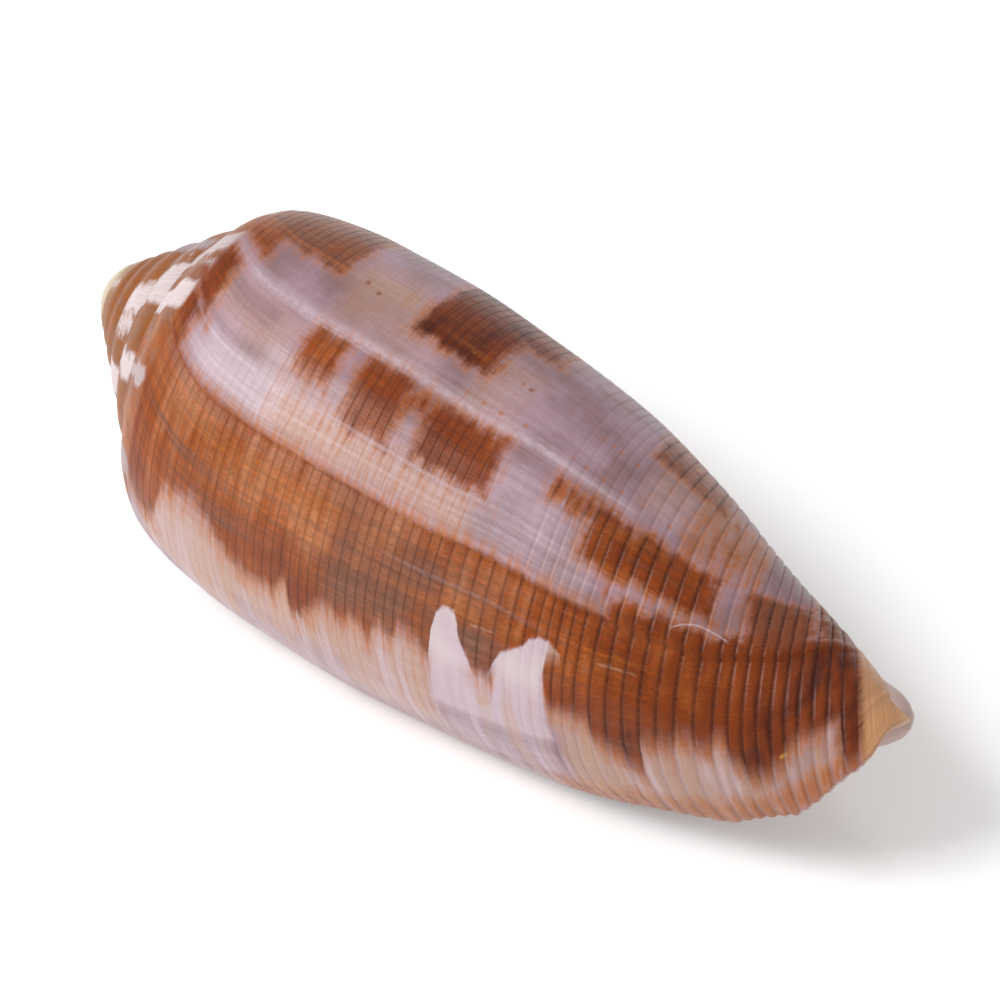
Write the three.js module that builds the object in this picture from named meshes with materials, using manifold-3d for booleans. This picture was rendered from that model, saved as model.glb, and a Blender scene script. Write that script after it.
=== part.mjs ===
// An empty cone shell, 50 mm long, lying on its aperture side.
//
// The shell is one wall coiled round an axis. Every coil, or whorl, is the last one made smaller
// about the apex, so one outline and one growth rate give the whole shell. It is worked out in the
// shell's own frame: +X runs along the axis from the apex to the anterior end, and angles turn
// about +X from +Y towards +Z, the way the shell grew. An age is an angle of growth in degrees,
// 0 at the lip and negative before it. The finished solid is laid down at rest, +Z up, with its
// origin under the middle of it.
import * as THREE from "three";
import { mergeVertices } from "three/addons/utils/BufferGeometryUtils.js";
import Module from "manifold-3d";

const wasm = await Module();
wasm.setup();

// Driving dimensions, in millimetres and degrees.
const LIP_WALL = 0.6; // wall at the free edge of the lip
const FULL_WALL = 1.15; // wall well inside the lip
const LIP_BEVEL = 35; // growth over which the wall reaches that
const BORE_RADIUS = 1.3; // the hollow closes to this round the columella
const RIB_PITCH = 1.3; // spiral ribs of the anterior third
const FIRST_GROOVE = 41.5; // along the outline
const LAST_GROOVE = 53.2;
const GROOVE_DEPTH = 0.17;
const GROOVE_HALF_WIDTH = 0.26;
const SCAR_AGE = -87; // where growth once paused
const SCAR_DEPTH = 0.2; // the new wall starts this far below the old one
const SCAR_LENGTH = 26; // and comes back to it over this much growth
const SCAR_FADES_IN = [8.5, 12]; // the step grows between these places, along the outline,
const SCAR_FADES_OUT = [50, 55]; // and dies away between these
const SPIRE_SWELL = 0.9; // how far the first whorls stand outside a straight-sided spire
const WHORLS = 7;
const APEX_RADIUS = 1.0; // the rounded first whorl
const APEX_CENTRE = 0.75; // its middle, along the axis
const SHELL_COLOUR = 0xb58a78;
const SHELL_ROUGHNESS = 0.35;

// Growth: size at each angle, against the outline's own angle.
const GROWTH_PER_RADIAN = 0.0563;
const OUTLINE_ANGLE = 232;
const LIP_ANGLE = 235;
const FULL_TURN = 360;
const WHORL_OVERLAP = 9; // each whorl runs this far into the start of the next
const WHORL_TUCK = 0.12; // and lies this far under it there
const CAVITY_OVERRUN = 3; // the hollow runs this far out through the lip

// How the shell lies: its anterior end dips, and it has rolled onto its lip.
const REST_PITCH = 3.4;
const REST_ROLL = -10.8;

// Where solids close on the axis, and where the hollow's rows run on past the outline, as places
// along it.
const WHORL_CLOSES = { start: 9.5, end: 42 };
const CAVITY_CLOSES = { start: -3.4, end: 60 };
const CAVITY_BACK = -4; // far enough back to open into the whorl above
const BORE = { start: 57, end: 66 }; // out through the anterior end

// How finely the surface is cut into columns round the axis.
const LAST_COLUMNS = 34;
const FIRST_EARLY_COLUMNS = 32;
const CAVITY_COLUMNS = 24;
const COLUMNS_LOST = 4; // each whorl before that has this many fewer
const SCAR_COLUMN_GAP = 0.6; // degrees from the scar to the column on each side of it
const SCAR_CLEAR = 4; // and to the nearest of the even columns
const APEX_SEGMENTS = [12, 8];

// Where rows lie along the body: between the shoulder and the grooves, beyond the grooves, on the
// inside of the wall, on the whorl under the last one, and on the earlier ones.
const BODY_PLACES = [10.7, 12.1, 14.5, 18, 22, 26, 30, 33.5, 36.8, 39.6];
const END_PLACES = [54.4, 55.7, 57.5];
const INSIDE_PLACES = [11.5, 16, 24, 33, 42, 49, 51, 52.8, 54.4, 55.7];
const UNDER_PLACES = [12, 22, 34, 45, 49, 51, 52.8, ...END_PLACES];
const EARLY_PLACES = [14];

const radians = THREE.MathUtils.degToRad;
const smoothstep = THREE.MathUtils.smoothstep;

// The sutural ramp and the shoulder: distance from the apex and radius.
const RAMP = [
  [7.6, 6.7], // inside the wall of the whorl above
  [7.1, 7.12],
  [7.7, 7.85],
  [8.2, 8.6],
  [8.8, 9.35],
  [9.65, 9.97],
];

// The last whorl from the shoulder to the anterior end: distance from the apex and radius.
const bodyRadius = curveThrough([
  [9.65, 9.97],
  [10.7, 10.36],
  [12.1, 10.69],
  [16.1, 11.15],
  [21.8, 11.24],
  [28.7, 10.74],
  [35.6, 9.87],
  [42.5, 8.04],
  [48.3, 5.95],
  [54.0, 4.1],
  [57.5, 2.7],
]);

// The growth lines' shape: how far, in degrees, each place on the lip lags behind its middle.
const lipLag = curveThrough([
  [7.3, 30],
  [9.65, 14],
  [11.4, 7],
  [13.8, 2],
  [18, 0],
  [28, 0],
  [35, 4],
  [40, 10],
  [44.8, 14.5],
  [46.3, 20],
  [48.6, 31],
  [50, 42],
  [51.8, 60],
  [53.5, 79],
  [54.4, 93],
  [55.7, 117],
  [57.5, 145],
]);

// The columella: distance from the apex, radius, and how far it leans from the axis.
const COLUMELLA = [
  [20, 0.6, 0],
  [29, 1.45, 0],
  [37, 2.0, 0],
  [43, 2.3, 0.2],
  [46, 2.2, 0.6],
  [48, 1.8, 1.1],
  [49.2, 1.3, 1.5],
  [49.9, 0.7, 1.7],
];
const COLUMELLA_TIP = 0.2; // it comes to a point this far past its last place
const COLUMELLA_LEAN_ANGLE = 90;
const COLUMELLA_SIDES = 14;

// Smooth curve through [position, value] points that doesn't overshoot them.
function curveThrough(points) {
  const last = points.length - 1;
  const slopes = points.slice(1).map((p, i) => (p[1] - points[i][1]) / (p[0] - points[i][0]));
  const tangents = points.map((_, i) => {
    if (i === 0) return slopes[0];
    if (i === last) return slopes[last - 1];
    const product = slopes[i - 1] * slopes[i];
    return product > 0 ? (2 * product) / (slopes[i - 1] + slopes[i]) : 0;
  });
  return (x) => {
    if (x <= points[0][0]) return points[0][1];
    if (x >= points[last][0]) return points[last][1];
    const i = points.findIndex((p) => p[0] > x) - 1;
    const width = points[i + 1][0] - points[i][0];
    const rise = points[i + 1][1] - points[i][1];
    const t = (x - points[i][0]) / width;
    const bend = (width * tangents[i] - rise) * (1 - t) + (rise - width * tangents[i + 1]) * t;
    return points[i][1] + t * rise + t * (1 - t) * bend;
  };
}

const growth = (angle) => Math.exp(GROWTH_PER_RADIAN * radians(angle - OUTLINE_ANGLE));

// Evenly spaced numbers, both ends included.
const spread = (from, to, steps) =>
  Array.from({ length: steps + 1 }, (_, i) => from + ((to - from) * i) / steps);

// Rows of the outline, from the suture to the anterior end, for places given along the body.
const outlineRows = (places) => [...RAMP, ...places.map((x) => [x, bodyRadius(x)])];

// The last whorl's rows, with a groove between each two spiral ribs.
function ribbedRows() {
  const rows = outlineRows(BODY_PLACES);
  const grooves = Math.round((LAST_GROOVE - FIRST_GROOVE) / RIB_PITCH);
  for (const x of spread(FIRST_GROOVE, LAST_GROOVE, grooves)) {
    rows.push([x - GROOVE_HALF_WIDTH, bodyRadius(x - GROOVE_HALF_WIDTH)]);
    rows.push([x, bodyRadius(x) - GROOVE_DEPTH]);
    rows.push([x + GROOVE_HALF_WIDTH, bodyRadius(x + GROOVE_HALF_WIDTH)]);
  }
  return [...rows, ...END_PLACES.map((x) => [x, bodyRadius(x)])];
}

// The inside of the wall: the outline moved in by the wall's thickness, then run on along the
// axis at both ends, so that the hollow is open to the whorl above and to the columella.
function insideRows(wall) {
  const rows = outlineRows(INSIDE_PLACES).slice(1);
  const moved = rows.map(([x, r], i) => {
    const before = rows[Math.max(i - 1, 0)];
    const after = rows[Math.min(i + 1, rows.length - 1)];
    const across = new THREE.Vector2(after[0] - before[0], after[1] - before[1]).normalize();
    return [x + wall * across.y, r - wall * across.x];
  });
  const back = [CAVITY_BACK, moved[0][1]];
  return [back, ...moved, [BORE.start, BORE_RADIUS], [BORE.end, BORE_RADIUS]];
}

// One place on the coiled surface. The swell rounds the spire out near the apex.
function place(x, r, angle, inset = 0) {
  const size = growth(angle);
  const swell = SPIRE_SWELL * Math.max(0, 1 - size * Math.exp(GROWTH_PER_RADIAN * 2 * Math.PI));
  const radius = r * size + swell - inset;
  return new THREE.Vector3(
    x * size,
    radius * Math.cos(radians(angle)),
    radius * Math.sin(radians(angle)),
  );
}

// A closed solid from a grid of points with a point on the axis at each end of its rows.
// columns[i][j] is the point in column i and row j, and the last column meets the first.
function solidFromGrid(columns, start, end) {
  const rowCount = columns[0].length;
  const points = [...columns.flat(), start, end];
  const startIndex = points.length - 2;
  const endIndex = points.length - 1;
  const triangles = [];
  columns.forEach((_, i) => {
    const here = i * rowCount;
    const next = ((i + 1) % columns.length) * rowCount;
    triangles.push(startIndex, next, here);
    for (let j = 0; j < rowCount - 1; j++) {
      triangles.push(here + j, next + j, here + j + 1);
      triangles.push(next + j, next + j + 1, here + j + 1);
    }
    triangles.push(here + rowCount - 1, next + rowCount - 1, endIndex);
  });
  const vertProperties = new Float32Array(points.flatMap((p) => p.toArray()));
  return new wasm.Manifold(
    new wasm.Mesh({ numProp: 3, vertProperties, triVerts: new Uint32Array(triangles) }),
  );
}

// One full turn of the surface that ends at the age given, closed as a solid on the axis. rowsAt
// gives the outline's rows for an age, and insetAt how far the surface lies inside its true place.
function turn(endAge, ages, rowsAt, closes, insetAt = () => 0) {
  const columns = ages.map((age) =>
    rowsAt(age).map(([x, r]) => {
      const angle = LIP_ANGLE - lipLag(x) + endAge + age;
      return place(x, r, angle, insetAt(age, x));
    }),
  );
  const size = growth(LIP_ANGLE + endAge);
  return solidFromGrid(
    columns,
    new THREE.Vector3(closes.start * size, 0, 0),
    new THREE.Vector3(closes.end * size, 0, 0),
  );
}

// The last whorl, with its ribs and the step where growth once paused.
function lastWhorl() {
  const rows = ribbedRows();
  const even = spread(-FULL_TURN, 0, LAST_COLUMNS).filter(
    (age) => Math.abs(age - SCAR_AGE) > SCAR_CLEAR,
  );
  const ages = [...even, SCAR_AGE - SCAR_COLUMN_GAP, SCAR_AGE + SCAR_COLUMN_GAP];
  ages.sort((a, b) => a - b);
  const scar = (age, x) => {
    const grown = (age - SCAR_AGE) / SCAR_LENGTH;
    const reach = smoothstep(x, ...SCAR_FADES_IN) * (1 - smoothstep(x, ...SCAR_FADES_OUT));
    return grown > 0 && grown < 1 ? SCAR_DEPTH * (1 - grown) * reach : 0;
  };
  return turn(0, ages, () => rows, WHORL_CLOSES, scar);
}

// An earlier whorl, which tucks under the start of the whorl after it.
function earlyWhorl(index, columns, places) {
  const tuck = (age) => WHORL_TUCK * smoothstep(age, -2 * WHORL_OVERLAP, -WHORL_OVERLAP);
  const rows = outlineRows(places);
  const endAge = -index * (FULL_TURN - WHORL_OVERLAP);
  return turn(endAge, spread(-FULL_TURN, 0, columns), () => rows, WHORL_CLOSES, tuck);
}

// The hollow of the last whorl, whose wall thins towards the lip.
function cavity() {
  const wallAt = (age) => FULL_WALL + (LIP_WALL - FULL_WALL) * smoothstep(age, -LIP_BEVEL, 0);
  const rowsAt = (age) => insideRows(wallAt(age));
  return turn(CAVITY_OVERRUN, spread(-FULL_TURN, 0, CAVITY_COLUMNS), rowsAt, CAVITY_CLOSES);
}

// The pillar in the middle, which leans where it comes out at the anterior end.
function columella() {
  const lean = radians(COLUMELLA_LEAN_ANGLE);
  const columns = Array.from({ length: COLUMELLA_SIDES }, (_, i) => {
    const angle = (2 * Math.PI * i) / COLUMELLA_SIDES;
    return COLUMELLA.map(
      ([x, r, offset]) =>
        new THREE.Vector3(
          x,
          offset * Math.cos(lean) + r * Math.cos(angle),
          offset * Math.sin(lean) + r * Math.sin(angle),
        ),
    );
  });
  const tip = COLUMELLA[COLUMELLA.length - 1];
  return solidFromGrid(
    columns,
    new THREE.Vector3(COLUMELLA[0][0], 0, 0),
    new THREE.Vector3(tip[0] + COLUMELLA_TIP, tip[2] * Math.cos(lean), tip[2] * Math.sin(lean)),
  );
}

// The rounded first whorl at the apex.
function firstWhorl() {
  const ball = new THREE.SphereGeometry(APEX_RADIUS, ...APEX_SEGMENTS).translate(APEX_CENTRE, 0, 0);
  ball.deleteAttribute("normal");
  ball.deleteAttribute("uv");
  const merged = mergeVertices(ball);
  return new wasm.Manifold(
    new wasm.Mesh({
      numProp: 3,
      vertProperties: merged.attributes.position.array,
      triVerts: new Uint32Array(merged.index.array),
    }),
  );
}

function shellSolid() {
  let shell = lastWhorl().subtract(cavity());
  shell = shell.add(earlyWhorl(1, FIRST_EARLY_COLUMNS, UNDER_PLACES));
  for (let index = 2; index < WHORLS; index++) {
    const columns = FIRST_EARLY_COLUMNS - COLUMNS_LOST * (index - 1);
    shell = shell.add(earlyWhorl(index, columns, EARLY_PLACES));
  }
  return shell.add(columella()).add(firstWhorl());
}

function geometryFrom(solid) {
  const { vertProperties, triVerts } = solid.getMesh();
  const geometry = new THREE.BufferGeometry();
  geometry.setAttribute("position", new THREE.BufferAttribute(vertProperties, 3));
  geometry.setIndex(new THREE.BufferAttribute(triVerts, 1));
  return geometry;
}

const geometry = geometryFrom(shellSolid());
geometry.rotateX(radians(REST_ROLL));
geometry.rotateY(radians(REST_PITCH));
geometry.computeBoundingBox();
const { min, max } = geometry.boundingBox;
geometry.translate(-(min.x + max.x) / 2, -(min.y + max.y) / 2, -min.z);

const shell = new THREE.Mesh(
  geometry,
  new THREE.MeshStandardMaterial({ color: SHELL_COLOUR, roughness: SHELL_ROUGHNESS, metalness: 0 }),
);
shell.name = "cone_shell";

const object = new THREE.Group();
object.add(shell);

export default object;
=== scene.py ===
"""The look of the cone shell: its coiled wall, markings, floor, light and camera.

Every place on the shell is given by two numbers. `along` is the distance from the apex in
millimetres, measured at the outline's own angle, and `age` is the growth angle in degrees, 0 at
the lip and negative before it. `lined` is the age of the growth line through a place, and `where`
is the distance from the shoulder along the outline, negative on the spire's ramp. The shell's own
frame has +X from the apex to the anterior end.
"""

import math
from types import SimpleNamespace

import bpy
import numpy as np
from mathutils import Matrix, Vector


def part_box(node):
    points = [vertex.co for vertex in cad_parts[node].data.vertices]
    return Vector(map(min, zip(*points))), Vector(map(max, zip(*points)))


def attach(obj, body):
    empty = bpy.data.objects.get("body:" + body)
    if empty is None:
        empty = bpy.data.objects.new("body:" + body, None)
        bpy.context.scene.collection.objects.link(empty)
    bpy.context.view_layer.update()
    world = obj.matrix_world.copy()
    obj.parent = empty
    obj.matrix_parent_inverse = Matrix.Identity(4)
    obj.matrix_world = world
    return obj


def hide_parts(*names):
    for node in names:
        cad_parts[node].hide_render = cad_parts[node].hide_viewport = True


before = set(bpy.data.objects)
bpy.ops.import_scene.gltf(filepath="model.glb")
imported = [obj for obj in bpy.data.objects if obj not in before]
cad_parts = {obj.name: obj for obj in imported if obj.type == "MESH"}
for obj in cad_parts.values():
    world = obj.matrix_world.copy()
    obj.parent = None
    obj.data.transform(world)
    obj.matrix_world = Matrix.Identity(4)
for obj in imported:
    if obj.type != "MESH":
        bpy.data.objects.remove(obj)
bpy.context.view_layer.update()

MM = 0.001
FULL_TURN = 360

# Form: the same driving dimensions as the CAD part, in millimetres and degrees.
LIP_WALL = 0.6
FULL_WALL = 1.15
LIP_BEVEL = 35
SPIRE_SWELL = 0.9
GROWTH_PER_RADIAN = 0.0563
OUTLINE_ANGLE = 232
LIP_ANGLE = 235
REST_PITCH = 3.4
REST_ROLL = -10.8

SHOULDER = 9.65  # where the ramp ends and the body starts, along
ANTERIOR_END = 57.5
FIRST_AGE = -2466  # the first whorl's start
FULL_ROWS_FROM = -620  # before this age only the ramp and shoulder show
SPIRE_ROWS_TO = 12.6  # and their rows end here
INNER_FROM = -300  # the inside of the wall shows as far as this
COVERED = (366, 374)  # so far behind the lip the next whorl covers the body
SPIRE_FROM = (372, 380)  # and so far behind it the spire's markings start

RAMP = [(7.6, 6.7), (7.1, 7.12), (7.7, 7.85), (8.2, 8.6), (8.8, 9.35), (9.65, 9.97)]
BODY = [
    (9.65, 9.97), (10.7, 10.36), (12.1, 10.69), (16.1, 11.15), (21.8, 11.24), (28.7, 10.74),
    (35.6, 9.87), (42.5, 8.04), (48.3, 5.95), (54.0, 4.1), (57.5, 2.7),
]
LIP_LAG = [
    (7.3, 30), (9.65, 14), (11.4, 7), (13.8, 2), (18, 0), (28, 0), (35, 4), (40, 10),
    (44.8, 14.5), (46.3, 20), (48.6, 31), (50, 42), (51.8, 60), (53.5, 79), (54.4, 93),
    (55.7, 117), (57.5, 145),
]
COLUMELLA = [
    (20, 0.6, 0), (29, 1.45, 0), (37, 2.0, 0), (43, 2.3, 0.2), (46, 2.2, 0.6), (48, 1.8, 1.1),
    (49.2, 1.3, 1.5), (49.9, 0.7, 1.7),
]
COLUMELLA_LEAN_ANGLE = 90
COLUMELLA_TIP = (0.25, 0.02)  # how far past its last place it ends, and its radius there
APEX_DOME = (1.2, 0.95, 1.7)  # centre along the axis, half height, radius

# Spiral ribs: the distance between grooves, their depth and half width, each by place along.
GROOVE_PITCH = [
    (9.65, 0.54), (21, 0.6), (29.5, 0.57), (30.5, 0.82), (35.2, 0.85), (36, 0.56), (38.2, 0.6),
    (39, 0.85), (42, 0.88), (45.3, 1.02), (46, 0.73), (50, 0.75), (51, 0.85), (54, 0.9),
]
GROOVE_DEPTH = [
    (9.65, 0), (11, 0.006), (28, 0.01), (36, 0.025), (43, 0.075), (52, 0.1), (54, 0),
]
GROOVE_HALF = [(9.65, 0.08), (38, 0.1), (54, 0.13)]
LAST_GROOVE = 53.6
RIB_BULGE = 0.12  # how far a rib's middle stands out, as a share of the groove's depth

SPIRE_RELIEF = 0.2  # how much of the relief the spire shows

# Growth pauses: age, how far the new wall starts below the old, and over how much growth it
# comes back. They fade in and out between these places along.
SCARS = [(-87, 0.2, 26), (-122.3, 0.06, 9), (-100.6, 0.03, 7)]
SCARS_START = (8.5, 12)
SCARS_END = (50, 55)
# Low swells along the growth lines: height, length in degrees, and the noise's seed.
SWELLS = [(0.03, 7, 11), (0.012, 2.6, 12)]

# The lip's edge is a little uneven, in degrees, with a tooth for each rib between these places.
LIP_WAVE = 1.4
LIP_TOOTH = 2.8
LIP_TEETH_START = (40, 46)
LIP_TEETH_END = (53, 54)

# How finely the mesh is cut. Before DEEP_GROOVES_FROM a groove has one row and the rib one, and
# past it a groove has rows at these shares of its half width.
RAMP_ROW_COUNT = 17
DEEP_GROOVES_FROM = 34
GROOVE_ROWS = (-1.7, -0.9, 0, 0.9, 1.7)
END_ROW_COUNT = 14
COLUMN_STEP, COVERED_STEP, SPIRE_STEP = 1.7, 8, 5.2
SCAR_CLEAR = 1.6
SCAR_COLUMNS = (-0.8, -0.25, 0.25, 0.9)
INNER_COLUMN_STEP, INNER_ROW_STEP = 6, 4
EDGE_STEPS = 6
COLUMELLA_RINGS, COLUMELLA_SIDES = 60, 28
DOME_RINGS, DOME_SIDES = 14, 40

# Where each stretch of the mesh lies on the flat map, as u0, v0, u1, v1.
OUTSIDE_MAP = (0.01, 0.01, 0.99, 0.70)
SPIRE_MAP = (0.01, 0.72, 0.99, 0.80)
INSIDE_MAP = (0.01, 0.82, 0.66, 0.99)
COLUMELLA_MAP = (0.68, 0.82, 0.82, 0.99)
DOME_MAP = (0.84, 0.82, 0.95, 0.99)
EDGE_MAP = (0.97, 0.82, 0.99, 0.99)
DOME_TOP_MAP = (0.90, 0.80, 0.01)  # its middle and radius


def curve_through(points):
    """Smooth curve through (position, value) points that doesn't overshoot them."""
    xs, ys = np.array(points, float).T
    slopes = np.diff(ys) / np.diff(xs)
    product = slopes[:-1] * slopes[1:]
    safe = np.where(product > 0, slopes[:-1] + slopes[1:], 1)
    middle = np.where(product > 0, 2 * product / safe, 0)
    tangents = np.concatenate([[slopes[0]], middle, [slopes[-1]]])

    def at(x):
        x = np.clip(np.asarray(x, float), xs[0], xs[-1])
        i = np.clip(np.searchsorted(xs, x, side="right") - 1, 0, len(xs) - 2)
        width, rise = (xs[1:] - xs[:-1])[i], (ys[1:] - ys[:-1])[i]
        t = (x - xs[i]) / width
        bend = (width * tangents[i] - rise) * (1 - t) + (rise - width * tangents[i + 1]) * t
        return ys[i] + t * rise + t * (1 - t) * bend

    return at


def line_through(points):
    xs, ys = np.array(points, float).T
    return lambda x: np.interp(x, xs, ys)


def smoothstep(x, low, high):
    t = np.clip((np.asarray(x, float) - low) / (high - low), 0, 1)
    return t * t * (3 - 2 * t)


def scaled(values):
    """The values brought to run from 0 to 1."""
    values = np.asarray(values, float)
    return (values - values[0]) / (values[-1] - values[0])


def circle(count):
    return np.radians(np.linspace(0, FULL_TURN, count + 1)[:-1])


body_radius = curve_through(BODY)
lip_lag = curve_through(LIP_LAG)
groove_pitch = line_through(GROOVE_PITCH)
groove_depth = line_through(GROOVE_DEPTH)
groove_half = line_through(GROOVE_HALF)

fine_along = np.linspace(SHOULDER, ANTERIOR_END, 4000)
fine_turns = np.concatenate([[0], np.cumsum(np.diff(fine_along) / groove_pitch(fine_along[1:]))])


def groove_number(along):
    """Whole at each groove, counted from the shoulder."""
    return np.interp(along, fine_along, fine_turns)


def groove_place(number):
    return np.interp(number, fine_turns, fine_along)


def smooth_noise(x, seed, period=4096):
    """Smooth random curve, from -1 to 1, with a bend about every whole number."""
    values = np.random.default_rng(seed).uniform(-1, 1, period)
    cell = np.floor(x).astype(int)
    t = smoothstep(x - cell, 0, 1)
    return values[cell % period] * (1 - t) + values[(cell + 1) % period] * t


# Rows of the outline and columns of growth.
def ramp_rows():
    """(along, radius) on a smooth curve through the ramp's points."""
    points = np.array(RAMP + [BODY[1]], float)
    points = np.vstack([2 * points[0] - points[1], points])
    spans = len(RAMP) - 1
    rows = []
    for s in np.linspace(0, spans, RAMP_ROW_COUNT):
        i = min(int(s), spans - 1)
        t = s - i
        a, b, c, d = points[i : i + 4]
        rows.append(
            0.5 * (2 * b + (c - a) * t + (2 * a - 5 * b + 4 * c - d) * t**2
                   + (3 * b - a - 3 * c + d) * t**3)
        )
    return np.array(rows)


def body_rows():
    """Places along of each rib's middle and of the groove after it."""
    rows = []
    for number in range(1, int(groove_number(LAST_GROOVE)) + 1):
        centre = float(groove_place(number))
        half = float(groove_half(centre))
        rows.append((centre + float(groove_place(number - 1))) / 2)
        shares = GROOVE_ROWS if centre > DEEP_GROOVES_FROM else (0,)
        rows += [centre + share * half for share in shares]
    rows += list(np.linspace(rows[-1], ANTERIOR_END, END_ROW_COUNT)[1:])
    return np.array(rows)


def ages_of_columns():
    """Ages of the spire's columns, and of those with all rows, closer beside the scars."""
    ages = list(np.arange(-FULL_TURN, 0.01, COLUMN_STEP)) + [0.0]
    for scar_age, _, _ in SCARS:
        ages = [age for age in ages if abs(age - scar_age) > SCAR_CLEAR]
        ages += [scar_age + step for step in SCAR_COLUMNS]
    covered = list(np.arange(FULL_ROWS_FROM, -FULL_TURN, COVERED_STEP))
    spire = list(np.arange(FIRST_AGE, FULL_ROWS_FROM, SPIRE_STEP))
    return np.array(spire), np.array(covered + sorted(ages))


RAMP_ROWS = ramp_rows()
BODY_ROWS = body_rows()
row_along = np.concatenate([RAMP_ROWS[:, 0], BODY_ROWS])
row_radius = np.concatenate([RAMP_ROWS[:, 1], body_radius(BODY_ROWS)])
row_step = np.hypot(np.diff(row_along), np.diff(row_radius))
row_where = np.concatenate([[0], np.cumsum(row_step)])
row_where = row_where - row_where[RAMP_ROW_COUNT - 1]
SPIRE_COLUMNS, COLUMNS = ages_of_columns()
spire_row_count = int(np.searchsorted(np.where(row_where > 0, row_along, 0), SPIRE_ROWS_TO))


# The coiled surface.
def growth(angle):
    return np.exp(GROWTH_PER_RADIAN * np.radians(angle - OUTLINE_ANGLE))


def place(along, radius, age, inset=0.0):
    """Points of the coiled surface in the shell's own frame."""
    angle = LIP_ANGLE - lip_lag(along) + age
    size = growth(angle)
    whorl = math.exp(GROWTH_PER_RADIAN * 2 * math.pi)
    swell = SPIRE_SWELL * np.maximum(0, 1 - size * whorl)
    out = radius * size + swell - inset
    turned = np.radians(angle)
    return np.stack([along * size, out * np.cos(turned), out * np.sin(turned)], -1)


# Later growth lines bend less towards the anterior end than the lip does.
LINE_BEND = 8.5  # degrees, reached between these two places along
LINE_BENDS = (31, 42)


def line_age(along, age):
    return age - LINE_BEND * smoothstep(along, *LINE_BENDS) * smoothstep(-age, 20, 60)


def off_groove(along):
    """Distance from the nearest groove, 0 in it and 0.5 half way between two."""
    number = groove_number(along)
    return np.abs(number - np.round(number))


def relief(along, where, age):
    """How far the outside lies below the smooth surface, in millimetres."""
    from_groove = off_groove(along) * groove_pitch(along)
    half = groove_half(along)
    depth = groove_depth(along) * (where > 0)
    groove = depth * np.clip(1 - from_groove / half, 0, 1)
    inset = groove - RIB_BULGE * depth * smoothstep(from_groove, half, 0.5)
    lined = line_age(along, age)
    reach = smoothstep(along, *SCARS_START) * (1 - smoothstep(along, *SCARS_END))
    for scar_age, drop, length in SCARS:
        grown = (lined - scar_age) / length
        inset = inset + drop * reach * np.where((grown > 0) & (grown < 1), 1 - grown, 0)
    swell = sum(height * smooth_noise(lined / length, seed) for height, length, seed in SWELLS)
    fade = smoothstep(-age, 0, 8) * (1 - 0.6 * smoothstep(-age, FULL_TURN, -FULL_ROWS_FROM))
    return inset - swell * fade


def normals_of(points):
    """Outward unit normals of a grid of points, columns by rows."""
    by_age = np.gradient(points, axis=0)
    by_row = np.gradient(points, axis=1)
    normal = np.cross(by_age, by_row)
    return normal / np.linalg.norm(normal, axis=-1, keepdims=True)


def outer_grid(ages, rows):
    """The places of a grid of columns and rows, those at the lip moved to its uneven edge."""
    along = np.broadcast_to(row_along[rows], (len(ages), len(rows)))
    radius = np.broadcast_to(row_radius[rows], along.shape)
    where = np.broadcast_to(row_where[rows], along.shape)
    age = np.broadcast_to(ages[:, None], along.shape)
    toothed = smoothstep(along, *LIP_TEETH_START) * (1 - smoothstep(along, *LIP_TEETH_END))
    tooth = off_groove(along) * toothed
    wave = LIP_WAVE * smooth_noise(groove_number(along) * 0.7 + 0.25, 21)
    uneven = wave + LIP_TOOTH * (tooth - 0.25 * (tooth > 0))
    return along, radius, where, age + uneven * smoothstep(age, -6, 0)


# Markings, each given where it lies: along from, along to, age from, age to.
AGE_TO_MM = 0.17  # a degree of growth on the body, in millimetres
FAR_OUT = -3.0  # the depth inside a marking of a place that is well outside it, in millimetres
JAGGED_FROM = -118  # browns younger than this have the more jagged edges
FAR_SIDE = (188, 206)  # so far behind the lip the side starts that the photograph doesn't show
RIBS_END = (53.9, 53.3)  # the markings of the ribs fade out here, along
FASCIOLE_FROM = (53.5, 54.3)  # and the fasciole's come in
TIP_FROM = (-1750, -2150)  # between these ages the spire turns cream
FINE_RELIEF = 0.00009  # the height of the relief that the mesh doesn't show, in metres

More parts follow.
